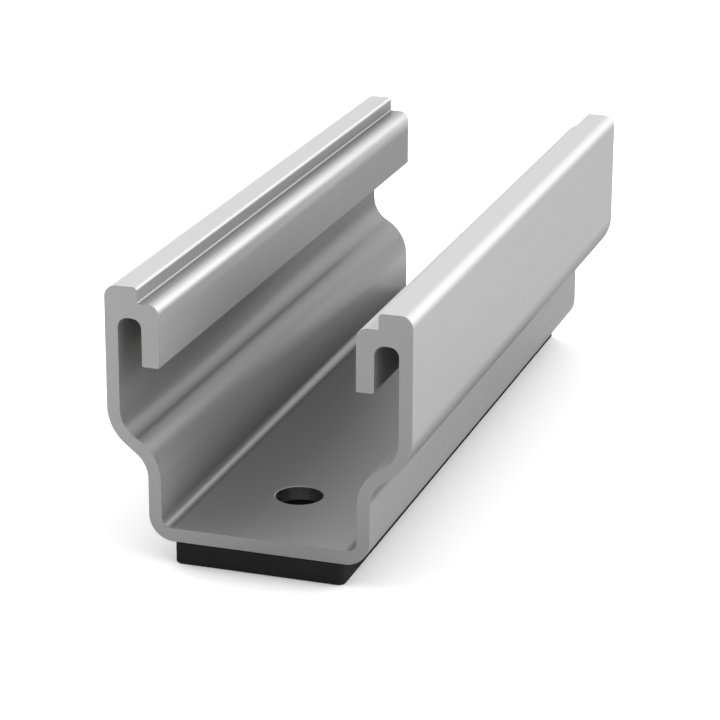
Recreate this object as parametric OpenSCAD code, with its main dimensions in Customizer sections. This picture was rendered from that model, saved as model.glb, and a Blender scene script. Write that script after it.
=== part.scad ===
// Short mounting rail for a photovoltaic roof: an extruded aluminium channel on a rubber sealing pad.
// Its walls step outwards over rounded shoulders, and their tops hook over inwards into lips.
// Origin: centre of the pad's underside. +X across the channel, +Y along it, +Z up. Millimetres.

/* [Rail] */
// Length of the rail
rail_l = 105; // [60:1:300]
// Width over the upper walls
rail_w = 41; // [40:0.5:50]
// Height of the rail, without the pad
rail_h = 34; // [31:0.5:50]
// Width over the lower walls, below the shoulders
foot_w = 30; // [27:0.5:32]
// Thickness of the side walls
wall_t = 1.8; // [1.2:0.1:2.2]
// Thickness of the floor
floor_t = 1.9; // [1.2:0.1:3]

/* [Shoulders] */
// Height above the rail's underside where the outside of the upper wall starts to bend
outer_bend_z = 17.7; // [16:0.1:19]
// Radius of the outer face at the top of the shoulder
outer_top_r = 6.3; // [4:0.1:7]
// Radius of the outer face at the foot of the shoulder
outer_foot_r = 4; // [2:0.1:5]
// Steepest turn of the outer face away from upright
outer_turn = 51.5; // [40:0.5:60]
// Height above the rail's underside where the inside of the upper wall starts to bend
inner_bend_z = 17.4; // [16:0.1:19]
// Radius of the inner face at the top of the shoulder
inner_top_r = 4.3; // [3:0.1:6]
// Radius of the inner face at the foot of the shoulder
inner_foot_r = 6.3; // [4:0.1:7]
// Steepest turn of the inner face away from upright
inner_turn = 61; // [50:0.5:65]

/* [Hooked edges] */
// Clear width of the mouth between the two lips
mouth_w = 26.2; // [22:0.2:27]
// Thickness of a lip
lip_t = 2.4; // [1.6:0.1:2.6]
// Drop from the rail's top to the lower edge of a lip
lip_drop = 10.55; // [8:0.05:12]
// Drop from the rail's top to the roof of the slot behind a lip
crown_t = 4.2; // [3:0.1:6]
// Width of the ridge along the rail's top
ridge_w = 4.5; // [3:0.1:5.5]
// Height of the ridge above the ledge beside it
ridge_h = 2.1; // [0.8:0.1:2.6]

/* [Rounded corners] */
// Radius of the outer corner along the rail's top
crown_r = 1.6; // [0.4:0.1:2.2]
// Radius of the inner corner along the ridge
ridge_r = 0.5; // [0.1:0.05:0.8]
// Radius of the fillet where the ledge meets the ridge
ledge_r = 0.25; // [0.05:0.05:0.5]
// Radius of the nose where the ledge turns down into the lip
nose_r = 1.4; // [0.4:0.1:1.8]
// Radius of the two corners along a lip's lower edge
lip_r = 0.25; // [0.05:0.05:0.5]
// Radius of the two corners in the roof of the slot
slot_r = 1.3; // [0.4:0.1:1.6]
// Radius of the outer corner between floor and lower wall
foot_r = 3.4; // [1:0.1:3.5]
// Radius of the inner corner between floor and lower wall
floor_r = 1.3; // [0.3:0.1:2]

/* [Screw holes] */
// Diameter of the holes through floor and pad
hole_d = 6.4; // [4:0.1:9]
// Distance from each end of the rail to the middle of a hole
hole_inset = 15.8; // [8:0.1:25]

/* [Sealing pad] */
// Width of the pad
pad_w = 23.2; // [14:0.2:23.2]
// Thickness of the pad
pad_t = 3; // [1:0.1:6]
// Radius of the pad's upright corners
pad_corner_r = 1; // [0.5:0.1:3]
// Radius of the pad's upper and lower edges
pad_r = 0.25; // [0.1:0.05:0.4]

/* [Hidden] */
$fn = 96;
// How far a cutting shape reaches past the surface that it cuts
over = 1;
rail_half = rail_w / 2;
foot_half = foot_w / 2;
mouth_half = mouth_w / 2;
upper_inner = rail_half - wall_t;
lower_inner = foot_half - wall_t;
slot_inner = mouth_half + lip_t;
slot_round = min(slot_r, (upper_inner - slot_inner) / 2);
ridge_inner = rail_half - ridge_w;
lip_z = rail_h - lip_drop;
slot_z = rail_h - crown_t;
ledge_z = rail_h - ridge_h;
hole_y = rail_l / 2 - hole_inset;

// The turn that carries a face sideways by dx over two arcs, no further than the wanted turn
function turn(dx, r_sum, wanted) = min(wanted, acos(max(-1, 1 - dx / r_sum)));

// Length of the straight between the two arcs of a shoulder
function straight(dx, r_sum, a) = (dx - r_sum * (1 - cos(a))) / sin(a);

// The sliver between a square corner and its rounding: dir points from the corner to the arc's centre
module corner(at, dir, r) {
    translate(at)
        difference() {
            translate([dir[0] > 0 ? -over : -r, dir[1] > 0 ? -over : -r])
                square(r + over);
            translate(dir * r)
                circle(r);
        }
}

module both_sides() {
    children();
    mirror([1, 0])
        children();
}

// Everything inside one face of the wall, from bottom_z to top_z, where the face steps in over its shoulder
module stepped(x_top, x_foot, bend_z, r_top, r_foot, wanted, bottom_z, top_z) {
    dx = x_top - x_foot;
    a = turn(dx, r_top + r_foot, wanted);
    out = [cos(a), -sin(a)];
    down = [-sin(a), -cos(a)];
    top_c = [x_top - r_top, bend_z];
    top_end = top_c + r_top * out;
    foot_end = top_end + straight(dx, r_top + r_foot, a) * down;
    foot_c = foot_end + r_foot * out;
    translate([-over, bend_z])
        square([over + x_top, top_z - bend_z]);
    translate(top_c)
        circle(r_top);
    difference() {
        polygon([[-over, foot_c[1]], foot_c, foot_end, top_end, top_c, [-over, bend_z]]);
        translate(foot_c)
            circle(r_foot);
    }
    translate([-over, bottom_z])
        square([over + x_foot, foot_c[1] - bottom_z]);
}

// One half of the section as if it were solid
module outer_half() {
    difference() {
        stepped(rail_half, foot_half, outer_bend_z, outer_top_r, outer_foot_r, outer_turn, 0, rail_h);
        corner([foot_half, 0], [-1, 1], foot_r);
        corner([rail_half, rail_h], [-1, -1], crown_r);
    }
}

// One half of the channel below the lips
module channel_half() {
    difference() {
        stepped(upper_inner, lower_inner, inner_bend_z, inner_top_r, inner_foot_r, inner_turn, floor_t, lip_z);
        corner([lower_inner, floor_t], [-1, 1], floor_r);
    }
}

// The slot behind a lip, open at its lower end into the channel
module slot() {
    difference() {
        translate([slot_inner, lip_z - over])
            square([upper_inner - slot_inner, slot_z - lip_z + over]);
        corner([slot_inner, slot_z], [1, -1], slot_round);
        corner([upper_inner, slot_z], [-1, -1], slot_round);
    }
}

// One half of the mouth, with the ledge and the rounded edges of the lip
module mouth_half_cut() {
    translate([-over, lip_z - over])
        square([over + mouth_half, rail_h - lip_z + 2 * over]);
    difference() {
        translate([-over, ledge_z])
            square([over + ridge_inner, ridge_h + over]);
        corner([ridge_inner, ledge_z], [-1, 1], ledge_r);
    }
    corner([ridge_inner, rail_h], [1, -1], ridge_r);
    corner([mouth_half, ledge_z], [1, -1], nose_r);
    corner([mouth_half, lip_z], [1, 1], lip_r);
    corner([slot_inner, lip_z], [-1, 1], lip_r);
}

module rail_section() {
    difference() {
        both_sides() outer_half();
        both_sides() channel_half();
        both_sides() slot();
        both_sides() mouth_half_cut();
    }
}

// Half of the pad's section, from its middle out to reach, with the upper and the lower edge rounded
module pad_half(reach) {
    difference() {
        square([reach, pad_t]);
        corner([reach, 0], [-1, 1], pad_r);
        corner([reach, pad_t], [-1, -1], pad_r);
    }
}

// The pad before it is drilled: two prisms that cross, with a round piece in each corner
module pad_slab() {
    corner_x = pad_w / 2 - pad_corner_r;
    corner_y = rail_l / 2 - pad_corner_r;
    rotate([90, 0, 0])
        linear_extrude(2 * corner_y, center = true)
            both_sides() pad_half(pad_w / 2);
    rotate([90, 0, 90])
        linear_extrude(2 * corner_x, center = true)
            both_sides() pad_half(rail_l / 2);
    for (x = [-corner_x, corner_x], y = [-corner_y, corner_y])
        translate([x, y, 0])
            rotate_extrude()
                pad_half(pad_corner_r);
}

// Drills its children at both ends of the rail, from z = 0 up to depth
module drilled(depth) {
    difference() {
        children();
        for (y = [-hole_y, hole_y])
            translate([0, y, -over])
                cylinder(d = hole_d, h = depth + 2 * over);
    }
}

module rail() {
    color("silver")
        translate([0, 0, pad_t])
            drilled(floor_t)
                rotate([90, 0, 0])
                    linear_extrude(rail_l, center = true)
                        rail_section();
}

module sealing_pad() {
    color([0.1, 0.1, 0.1])
        drilled(pad_t)
            pad_slab();
}

rail();
sealing_pad();
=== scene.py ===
"""Looks of the solar mini rail: satin extruded aluminium with sawn ends, on a black rubber sealing pad.

Both pieces are drawn as fine meshes from the same sizes as the solids, which they stand for.
Lengths are in metres. +X runs across the channel, +Y along it and +Z up.
"""
import math

import bmesh
import bpy
from mathutils import Matrix, Vector
from mathutils.geometry import tessellate_polygon


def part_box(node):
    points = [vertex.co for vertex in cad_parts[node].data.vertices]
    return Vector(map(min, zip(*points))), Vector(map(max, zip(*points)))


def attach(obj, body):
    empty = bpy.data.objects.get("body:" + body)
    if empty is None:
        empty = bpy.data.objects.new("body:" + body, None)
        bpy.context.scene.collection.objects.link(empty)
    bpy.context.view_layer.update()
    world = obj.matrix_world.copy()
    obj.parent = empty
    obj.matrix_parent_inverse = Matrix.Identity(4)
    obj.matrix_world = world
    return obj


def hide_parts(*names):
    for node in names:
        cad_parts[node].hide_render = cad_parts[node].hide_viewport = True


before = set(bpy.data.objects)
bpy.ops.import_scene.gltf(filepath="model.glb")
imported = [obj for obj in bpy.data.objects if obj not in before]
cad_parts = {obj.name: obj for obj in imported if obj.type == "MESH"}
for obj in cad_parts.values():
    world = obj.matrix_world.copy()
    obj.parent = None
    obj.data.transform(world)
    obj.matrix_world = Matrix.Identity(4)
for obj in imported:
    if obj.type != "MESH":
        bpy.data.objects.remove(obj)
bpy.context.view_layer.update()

MM = 0.001

# Outer sizes, from the frame
rail_low, rail_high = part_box("rail")
pad_low, pad_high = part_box("sealing_pad")
rail_l = rail_high.y - rail_low.y
rail_half = rail_high.x
rail_bottom = rail_low.z
rail_top = rail_high.z
pad_half = pad_high.x

# Walls and floor
wall_t = 1.8 * MM
floor_t = 1.9 * MM
foot_half = 15 * MM

# Shoulders: where each face starts to bend, its two radii and its steepest turn from upright
outer_bend_z = 17.7 * MM
outer_top_r = 6.3 * MM
outer_foot_r = 4 * MM
outer_turn = math.radians(51.5)
inner_bend_z = 17.4 * MM
inner_top_r = 4.3 * MM
inner_foot_r = 6.3 * MM
inner_turn = math.radians(61)

# Hooked edges
mouth_half = 13.1 * MM
lip_t = 2.4 * MM
lip_drop = 10.55 * MM
crown_t = 4.2 * MM
ridge_w = 4.5 * MM
ridge_h = 2.1 * MM

# Rounded corners of the section
crown_r = 1.6 * MM
ridge_r = 0.5 * MM
ledge_r = 0.25 * MM
nose_r = 1.4 * MM
lip_r = 0.25 * MM
slot_r = 1.3 * MM
foot_r = 3.4 * MM
floor_r = 1.3 * MM

# Screw holes through floor and pad
hole_r = 3.2 * MM
hole_y = rail_l / 2 - 15.8 * MM
hole_sides = 96

# Rounded edges of the pad, and the small breaks on sawn and drilled edges
pad_corner_r = 1 * MM
pad_edge_r = 0.25 * MM
sawn_break = 0.08 * MM
drilled_break = 0.1 * MM
cut_rubber_break = 0.12 * MM

# Painted shade on the metal's skin, which darkens its base colour on the outer walls, in the channel, under
# the shoulders, on the ledges and towards the back end, as (front end, back end): 0 or less is unshaded, and
# 1 or more is darkest
wall_shade = Vector((0.3, 0.42))
lower_shade = Vector((0.53, 0.67))
shoulder_shade = Vector((1.8, 1.8))
crown_shade = Vector((-0.7, -0.7))
ridge_corner_shade = Vector((-1.2, -1.2))
ridge_side_shade = Vector((0.36, 0.67))
left_ledge_shade = Vector((0.62, 0.82))
right_ledge_shade = Vector((0.1, 0.1))
left_nose_shade = Vector((0.4, 0.45))
right_nose_shade = Vector((0.1, 0.1))
nose_end_shade = Vector((-0.5, 0.05))
lip_shade = Vector((0.02, 0.8))
channel_shade = Vector((0.36, 1.0))
left_shoulder_shade = Vector((1.2, 1.8))
right_shoulder_shade = Vector((0.2, 0.8))
below_shoulder_shade = Vector((-0.25, 0.4))
fillet_shade = Vector((0.8, 1.2))
floor_shade = Vector((0.55, 1.2))

# How far along a flat its painted shade takes to change to that of the corner beside it
below_nose_run = 1.5 * MM
beside_fillet_run = 0.4 * MM

# How finely arcs are drawn: the widest turn between two points, and the steps in a pad edge and in a break
arc_step = math.radians(5)
pad_edge_steps = 6
break_steps = 2


def arc_corner(before, corner, after, radius):
    """The arc that rounds one corner of an anticlockwise outline, as pairs (point, outward normal)."""
    into = (Vector(before) - Vector(corner)).normalized()
    out = (Vector(after) - Vector(corner)).normalized()
    turn = math.pi - into.angle(out)
    reach = radius * math.tan(turn / 2)
    centre = Vector(corner) + (into + out).normalized() * math.hypot(radius, reach)
    start = Vector(corner) + into * reach - centre
    way = 1 if out.cross(into) > 0 else -1
    steps = max(2, math.ceil(turn / arc_step))
    spokes = [Matrix.Rotation(way * turn * i / steps, 2) @ start for i in range(steps + 1)]
    return [(centre + spoke, way * spoke.normalized()) for spoke in spokes]


def rounded(corners):
    """An open outline with its corners rounded, as (point, outward normal, painted shade), without its two
    ends.

    A corner is (x, z, radius, painted shade at the start of its arc, painted shade at the arc's end), and a
    point on a straight run is (x, z, painted shade). Each painted shade is a pair, for the front and for the
    back end.
    """
    points = []
    for before, corner, after in zip(corners, corners[1:], corners[2:]):
        if len(corner) == 3:
            run = (Vector(after[:2]) - Vector(before[:2])).normalized()
            points.append((Vector(corner[:2]), Vector((run.y, -run.x)), corner[2]))
            continue
        arc = arc_corner(before[:2], corner[:2], after[:2], corner[2])
        first, last = corner[3:]
        for i, (point, normal) in enumerate(arc):
            points.append((point, normal, first + (last - first) * i / (len(arc) - 1)))
    return points


def shoulder(x_top, x_foot, bend_z, r_top, r_foot, turn):
    """The two corners of a shoulder: where the upper wall turns in, and where the lower wall turns down."""
    top_z = bend_z - r_top * math.tan(turn / 2)
    foot_z = top_z - (x_top - x_foot) / math.tan(turn)
    return (x_top, top_z, r_top), (x_foot, foot_z, r_foot)


def half_section(inner_shoulder_shade, ledge_shade, nose_shade):
    """The right half of the section, from the underside round the outside and back in along the floor."""
    height = rail_top - rail_bottom
    upper_inner = rail_half - wall_t
    lower_inner = foot_half - wall_t
    slot_inner = mouth_half + lip_t
    ridge_inner = rail_half - ridge_w
    lip_z = height - lip_drop
    slot_z = height - crown_t
    ledge_z = height - ridge_h
    outer_top, outer_foot = shoulder(
        rail_half, foot_half, outer_bend_z, outer_top_r, outer_foot_r, outer_turn
    )
    inner_top, inner_foot = shoulder(
        upper_inner, lower_inner, inner_bend_z, inner_top_r, inner_foot_r, inner_turn
    )
    # Each corner and flat carries the shade painted on the skin there
    return rounded([
        (0, 0),
        (foot_half, 0, foot_r, lower_shade, lower_shade),
        (*outer_foot, lower_shade, shoulder_shade),
        (*outer_top, shoulder_shade, wall_shade),
        (rail_half, height, crown_r, wall_shade, crown_shade),
        (ridge_inner, height, ridge_r, ridge_corner_shade, ridge_side_shade),
        (ridge_inner, ledge_z, ledge_r, ridge_side_shade, ledge_shade),
        (mouth_half, ledge_z, nose_r, nose_shade, nose_end_shade),
        (mouth_half, ledge_z - nose_r - below_nose_run, lip_shade),
        (mouth_half, lip_z, lip_r, lip_shade, channel_shade),
        (slot_inner, lip_z, lip_r, channel_shade, channel_shade),
        (slot_inner, slot_z, slot_r, channel_shade, channel_shade),
        (upper_inner, slot_z, slot_r, channel_shade, channel_shade),
        (*inner_top, channel_shade, inner_shoulder_shade),
        (*inner_foot, inner_shoulder_shade, below_shoulder_shade),
        (lower_inner, floor_t, floor_r, channel_shade, fillet_shade),
        (lower_inner - floor_r - beside_fillet_run, floor_t, floor_shade),
        (0, floor_t),
    ])


def rail_section():
    """The rail's section, anticlockwise, as (point, outward normal, painted shade) in x and z.

    Here z starts at the rail's own underside.
    """
    left = half_section(left_shoulder_shade, left_ledge_shade, left_nose_shade)
    mirrored = [(Vector((-p.x, p.y)), Vector((-n.x, n.y)), shade) for p, n, shade in reversed(left)]
    return half_section(right_shoulder_shade, right_ledge_shade, right_nose_shade) + mirrored


def rolled_edges(low, high, radius, steps):
    """Rings of a body whose two end edges are rolled, as (place along it, inset of its sides, lean).

    The lean is the angle that the normals turn from the side's own towards the far end, so it is negative
    at the near end.
    """
    leans = [math.pi / 2 * (1 - i / steps) for i in range(steps + 1)]
    near = [(low + radius * (1 - math.sin(a)), radius * (1 - math.cos(a)), -a) for a in leans]
    return near + [(low + high - place, back, -lean) for place, back, lean in reversed(near)]


def bridge(bm, ring_a, ring_b, material=0, skip=()):
    """A band of quads between two rings of as many points, without those that start at a skipped point."""
    count = len(ring_a)
    for i in range(count):
        if i in skip:
            continue
        j = (i + 1) % count
        face = bm.faces.new((ring_a[i], ring_a[j], ring_b[j], ring_b[i]))
        face.material_index = material


def fill(bm, rings, material=0):
    """A flat face with holes: the first ring is its outline, and the others are its holes."""
    verts = [v for ring in rings for v in ring]
    for triangle in tessellate_polygon([[v.co for v in ring] for ring in rings]):
        face = bm.faces.new([verts[i] for i in triangle])
        face.material_index = material


def hole_wall(bm, y, bottom, top, edge, material):
    """The wall of a drilled hole with its broken edges. Gives back its lowest and its highest ring."""
    turns = [math.tau * i / hole_sides for i in range(hole_sides)]
    spokes = [Vector((math.cos(a), math.sin(a), 0)) for a in turns]
    rings = []
    for z, back, lean in rolled_edges(bottom, top, edge, break_steps):
        centre = Vector((0, y, z))
        normal_z = Vector((0, 0, math.sin(lean)))
        rings.append([
            new_vertex(bm, centre + (hole_r + back) * spoke, normal_z - math.cos(lean) * spoke)
            for spoke in spokes
        ])
    for lower, upper in zip(rings, rings[1:]):
        bridge(bm, lower, upper, material)
    return rings[0], rings[-1]


def new_vertex(bm, place, normal, shade=floor_shade):
    """A vertex that keeps the true normal of its surface, and the shade painted on the metal's skin there."""
    vertex = bm.verts.new(place)
    share_of_length = place.y / rail_l + 0.5
    vertex[bm.verts.layers.float_vector["surface normal"]] = normal
    vertex[bm.verts.layers.float["painted_shade"]] = shade.x + (shade.y - shade.x) * share_of_length
    return vertex


def new_bmesh():
    """An empty mesh with room for each vertex's normal and painted shade."""
    bm = bmesh.new()
    bm.verts.layers.float_vector.new("surface normal")
    bm.verts.layers.float.new("painted_shade")
    return bm


def finished_object(name, bm, materials):
    """Turns a mesh into an object that is shaded with the true normals of its surface."""
    bmesh.ops.recalc_face_normals(bm, faces=bm.faces)
    layer = bm.verts.layers.float_vector["surface normal"]
    normals = [vertex[layer].copy() for vertex in bm.verts]
    bm.verts.layers.float_vector.remove(layer)
    mesh = bpy.data.meshes.new(name)
    bm.to_mesh(mesh)
    bm.free()
    mesh.shade_smooth()
    mesh.normals_split_custom_set_from_vertices(normals)
    for material in materials:
        mesh.materials.append(material)
    piece = bpy.data.objects.new(name, mesh)
    bpy.context.scene.collection.objects.link(piece)
    return piece


def make_rail(materials):
    """The rail: one section drawn out along Y, with broken edges at its sawn ends and two drilled holes."""
    drawn, sawn, drilled = range(3)
    section = rail_section()
    bm = new_bmesh()
    rings = []
    for y, back, lean in rolled_edges(-rail_l / 2, rail_l / 2, sawn_break, break_steps):
        ring = []
        for p, n, shade in section:
            place = Vector((p.x - back * n.x, y, rail_bottom + p.y - back * n.y))
            normal = Vector((n.x * math.cos(lean), math.sin(lean), n.y * math.cos(lean)))
            ring.append(new_vertex(bm, place, normal, shade))
        rings.append(ring)

    # The last edge of each half is a flat of the floor, its top or its underside, and the holes cut both
    floor_edge = len(section) // 2 - 1
    underside_edge = len(section) - 1
    last_of_front = len(rings) // 2 - 1
    for i, (near, far) in enumerate(zip(rings, rings[1:])):
        if i == last_of_front:
            bridge(bm, near, far, drawn, skip=(floor_edge, underside_edge))
        else:
            bridge(bm, near, far, sawn)
    for ring in (rings[0], rings[-1]):
        bm.faces.new(ring).material_index = sawn
    near, far = rings[last_of_front], rings[last_of_front + 1]
    walls = [
        hole_wall(bm, y, rail_bottom, rail_bottom + floor_t, drilled_break, drilled)
        for y in (-hole_y, hole_y)
    ]
    for start, level in ((underside_edge, 0), (floor_edge, 1)):
        end = (start + 1) % len(section)
        outline = [near[start], near[end], far[end], far[start]]
        fill(bm, [outline] + [rings_of_wall[level] for rings_of_wall in walls], drawn)
    return finished_object("extruded_rail", bm, materials)


def make_pad(materials):
    """The rubber pad: a slab with round corners and rolled edges, and the two holes cut through it."""
    half_l = rail_l / 2
    corners = [(-pad_half, -half_l), (pad_half, -half_l), (pad_half, half_l), (-pad_half, half_l)]
    outline = []
    for i, corner in enumerate(corners):
        outline += arc_corner(corners[i - 1], corner, corners[(i + 1) % 4], pad_corner_r)
    bm = new_bmesh()
    rings = []
    for z, back, lean in rolled_edges(pad_low.z, pad_high.z, pad_edge_r, pad_edge_steps):
        ring = []
        for p, n in outline:
            place = Vector((p.x - back * n.x, p.y - back * n.y, z))
            normal = Vector((n.x * math.cos(lean), n.y * math.cos(lean), math.sin(lean)))
            ring.append(new_vertex(bm, place, normal))
        rings.append(ring)
    for lower, upper in zip(rings, rings[1:]):
        bridge(bm, lower, upper)
    walls = [hole_wall(bm, y, pad_low.z, pad_high.z, cut_rubber_break, 0) for y in (-hole_y, hole_y)]
    for ring, level in ((rings[0], 0), (rings[-1], 1)):
        fill(bm, [ring] + [rings_of_wall[level] for rings_of_wall in walls])
    return finished_object("rubber_pad", bm, materials)


class Nodes:
    """Short ways to add shader nodes to one material."""

    def __init__(self, name):
        self.material = bpy.data.materials.new(name)
        self.material.use_nodes = True
        self.tree = self.material.node_tree
        self.shader = self.tree.nodes["Principled BSDF"]

    def add(self, kind, inputs=None, **settings):
        """A new node with its settings, and with its inputs given as values or sockets."""
        node = self.tree.nodes.new(kind)
        for key, value in settings.items():
            setattr(node, key, value)
        for key, value in (inputs or {}).items():
            if isinstance(value, bpy.types.NodeSocket):
                self.tree.links.new(value, node.inputs[key])
            else:
                node.inputs[key].default_value = value
        return node

    def set(self, **values):
        """Sets the shader's own sockets, named with _ in place of a space."""
        for key, value in values.items():
            self.shader.inputs[key.replace("_", " ")].default_value = value

    def link(self, output, socket):
        """Leads an output to one of the shader's sockets."""
        self.tree.links.new(output, self.shader.inputs[socket])

    def place(self, scale):
        """The point on the object, in metres, times scale."""
        where = self.add("ShaderNodeTexCoord").outputs["Object"]
        return self.add("ShaderNodeMapping", {"Vector": where, "Scale": scale}).outputs["Vector"]

    def noise(self, scale, detail=2.0, roughness=0.5):
        """Noise from 0 to 1 whose cells measure 1 / scale metres."""
        place = self.place(scale)
        inputs = {"Vector": place, "Scale": 1.0, "Detail": detail, "Roughness": roughness}
        return self.add("ShaderNodeTexNoise", inputs).outputs["Fac"]

    def spread(self, value, out_low, out_high, low=0.25, high=0.75):
        """Maps a value's range, here by default most of what a noise gives, on to out_low to out_high."""
        inputs = {"Value": value, "From Min": low, "From Max": high, "To Min": out_low, "To Max": out_high}
        return self.add("ShaderNodeMapRange", inputs).outputs["Result"]

    def blend(self, factor, colour_a, colour_b):
        """Mixes two colours, each a tuple or a socket."""
        node = self.add("ShaderNodeMix", data_type="RGBA")
        sockets = [socket for socket in node.inputs if socket.enabled]
        for socket, value in zip(sockets, (factor, colour_a, colour_b)):
            if isinstance(value, bpy.types.NodeSocket):
                self.tree.links.new(value, socket)
            else:
                socket.default_value = (*value, 1)
        return [socket for socket in node.outputs if socket.enabled][0]

    def bump(self, height, depth):
        """Bumps of the given depth in metres."""
        inputs = {"Height": height, "Distance": depth, "Strength": 1.0}
        return self.add("ShaderNodeBump", inputs).outputs["Normal"]


def grey(level):
    """A neutral colour."""
    return level, level, level


def extruded_aluminium():
    """Satin mill finish: die lines and broad streaks along the length, and shade painted into the skin's
    colour in places.
    """
    m = Nodes("extruded aluminium")
    streaks = m.noise((700, 6, 700), detail=3)
    die_lines = m.noise((5200, 25, 5200), detail=2)
    die_line_depth = 0.0012 * MM
    # Painted shade: the base colour darkens from the unshaded skin towards the shaded one on the outer walls,
    # in the channel, under the shoulders, on the ledges and towards the back end
    shade = m.add("ShaderNodeAttribute", attribute_name="painted_shade").outputs["Fac"]
    unshaded_skin = m.blend(streaks, grey(0.371), grey(0.395))
    shaded_skin = m.blend(streaks, grey(0.108), grey(0.125))
    m.set(Metallic=0.45, Specular_Tint=(*grey(0.2), 1))
    m.link(m.blend(shade, unshaded_skin, shaded_skin), "Base Color")
    m.link(m.spread(streaks, 0.36, 0.42), "Roughness")
    m.link(m.bump(die_lines, die_line_depth), "Normal")
    return m.material


def sawn_aluminium():
    """A sawn end: very fine saw marks across the section, and light and shade painted across the cut, lighter
    to its upper left.
    """
    m = Nodes("sawn aluminium")
    # Painted light and shade: the cut's colour runs from a shaded tone at its lower right to a lit tone at
    # its upper left
    upper_left = Vector((-0.66, 0, 0.75))
    shaded_up_to = -5 * MM
    lit_from = 40 * MM
    along = m.add("ShaderNodeVectorMath", {0: m.place((1, 1, 1)), 1: upper_left}, operation="DOT_PRODUCT")
    brightness = m.spread(along.outputs["Value"], 0.0, 1.0, low=shaded_up_to, high=lit_from)
    saw_marks = m.noise((900, 900, 9000), detail=2)
    saw_mark_depth = 0.0025 * MM
    patches = m.noise((160, 160, 160), detail=2)
    shaded_cut = m.blend(patches, grey(0.218), grey(0.234))
    lit_cut = m.blend(patches, grey(0.293), grey(0.313))
    m.set(Metallic=1.0)
    m.link(m.blend(brightness, shaded_cut, lit_cut), "Base Color")
    m.link(m.spread(saw_marks, 0.46, 0.54), "Roughness")
    m.link(m.bump(saw_marks, saw_mark_depth), "Normal")
    return m.material


def drilled_aluminium():
    """The wall of a drilled hole, with turned rings."""
    m = Nodes("drilled aluminium")
    rings = m.noise((400, 400, 9000), detail=2)
    ring_depth = 0.003 * MM
    m.set(Metallic=1.0)
    m.link(m.blend(rings, grey(0.27), grey(0.34)), "Base Color")
    m.link(m.spread(rings, 0.38, 0.5), "Roughness")
    m.link(m.bump(rings, ring_depth), "Normal")
    return m.material


def sealing_rubber():
    """Matt black rubber: a fine grain, and a faint bloom that comes and goes."""
    m = Nodes("sealing rubber")
    grain = m.noise((4200, 4200, 4200), detail=3, roughness=0.6)
    grain_depth = 0.012 * MM
    bloom = m.noise((260, 260, 260), detail=3)
    m.set(Specular_IOR_Level=0.0)
    m.link(m.blend(bloom, grey(0.0165), grey(0.0215)), "Base Color")
    m.link(m.spread(grain, 0.55, 0.68), "Roughness")
    m.link(m.bump(grain, grain_depth), "Normal")
    return m.material


def make_floor():
    """The plain white floor, level with the pad's underside."""
    half = 6.0
    corners = ((-half, -half), (half, -half), (half, half), (-half, half))
    bm = bmesh.new()
    bm.faces.new([bm.verts.new((x, y, pad_low.z)) for x, y in corners])
    mesh = bpy.data.meshes.new("floor")
    bm.to_mesh(mesh)
    bm.free()
    m = Nodes("white floor")
    m.set(Base_Color=(*grey(0.9), 1), Roughness=1.0, Specular_IOR_Level=0.0)
    mesh.materials.append(m.material)
    floor = bpy.data.objects.new("floor", mesh)
    bpy.context.scene.collection.objects.link(floor)


def make_camera():
    """The photograph's viewing angle, worked out from the rail's own edges in it."""
    data = bpy.data.cameras.new("camera")
    data.lens = 140.04
    data.sensor_width = 36
    data.clip_start = 0.01
    data.clip_end = 50
    camera = bpy.data.objects.new("camera", data)
    place = Matrix.Translation((0.116115, -0.362091, 0.144839))
    turn = Matrix.Rotation(math.radians(18.3117), 4, "Z")
    tilt = Matrix.Rotation(math.radians(70.7178), 4, "X")
    roll = Matrix.Rotation(math.radians(0.1987), 4, "Z")
    camera.matrix_world = place @ turn @ tilt @ roll
    bpy.context.scene.collection.objects.link(camera)
    bpy.context.scene.camera = camera


def direction(azimuth, elevation):
    """A unit vector: azimuth in degrees from +Y towards +X, elevation above the floor."""
    a, e = math.radians(azimuth), math.radians(elevation)
    return Vector((math.sin(a) * math.cos(e), math.cos(a) * math.cos(e), math.sin(e)))


def softbox(name, azimuth, elevation, distance, width, height, brightness):
    """A rectangular light panel that faces the object. Brightness is its radiance."""
    data = bpy.data.lights.new(name, "AREA")
    data.shape = "RECTANGLE"
    data.size = width
    data.size_y = height
    data.energy = brightness * width * height * math.pi
    light = bpy.data.objects.new(name, data)
    way = direction(azimuth, elevation)
    light.location = way * distance
    light.rotation_mode = "QUATERNION"
    light.rotation_quaternion = way.to_track_quat("Z", "Y")
    light.visible_camera = False
    bpy.context.scene.collection.objects.link(light)


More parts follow.
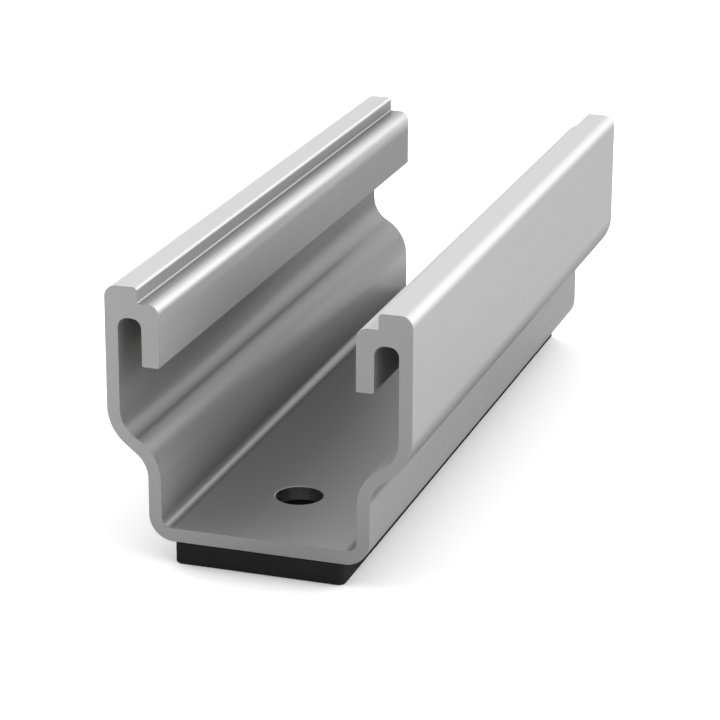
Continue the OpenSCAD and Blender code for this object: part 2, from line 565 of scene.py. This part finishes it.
def ramp(tree, value, low, high, out_low, out_high):
    """Takes a socket's value smoothly from out_low, at low, to out_high, at high."""
    node = tree.nodes.new("ShaderNodeMapRange")
    node.interpolation_type = "SMOOTHSTEP"
    for name, number in (("From Min", low), ("From Max", high), ("To Min", out_low), ("To Max", out_high)):
        node.inputs[name].default_value = number
    tree.links.new(value, node.inputs["Value"])
    return node.outputs["Result"]


def product(tree, a, b):
    """Multiplies the values of two sockets."""
    node = tree.nodes.new("ShaderNodeMath")
    node.operation = "MULTIPLY"
    tree.links.new(a, node.inputs[0])
    tree.links.new(b, node.inputs[1])
    return node.outputs[0]


def make_world():
    """A bright studio all round, a little dimmer overhead, dark in front and brighter on both sides."""
    world = bpy.data.worlds.new("studio")
    world.use_nodes = True
    tree = world.node_tree
    parts = tree.nodes.new("ShaderNodeSeparateXYZ")
    tree.links.new(tree.nodes.new("ShaderNodeTexCoord").outputs["Generated"], parts.inputs[0])
    x, y, z = (parts.outputs[axis] for axis in "XYZ")
    overhead = ramp(tree, z, low=0.35, high=0.9, out_low=2.1, out_high=1.7)
    front = ramp(tree, y, low=-0.95, high=0.4, out_low=0.1, out_high=1.1)
    aside = tree.nodes.new("ShaderNodeMath")
    aside.operation = "ABSOLUTE"
    tree.links.new(x, aside.inputs[0])
    sides = ramp(tree, aside.outputs[0], low=0.3, high=1.0, out_low=1.0, out_high=1.9)
    background = tree.nodes["Background"]
    background.inputs["Color"].default_value = (1, 1, 1, 1)
    tree.links.new(product(tree, product(tree, overhead, front), sides), background.inputs["Strength"])
    bpy.context.scene.world = world


def make_lights():
    """One broad panel behind the object on its right, for the highlights along the rounded edges."""
    softbox("back panel", azimuth=20, elevation=18, distance=3, width=2.0, height=1.4, brightness=2.0)


make_camera()
make_floor()
make_world()
make_lights()
rail = make_rail([extruded_aluminium(), sawn_aluminium(), drilled_aluminium()])
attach(rail, "root")
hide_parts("rail")
pad = make_pad([sealing_rubber()])
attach(pad, "root")
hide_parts("sealing_pad")
bpy.context.scene.view_settings.view_transform = "Standard"
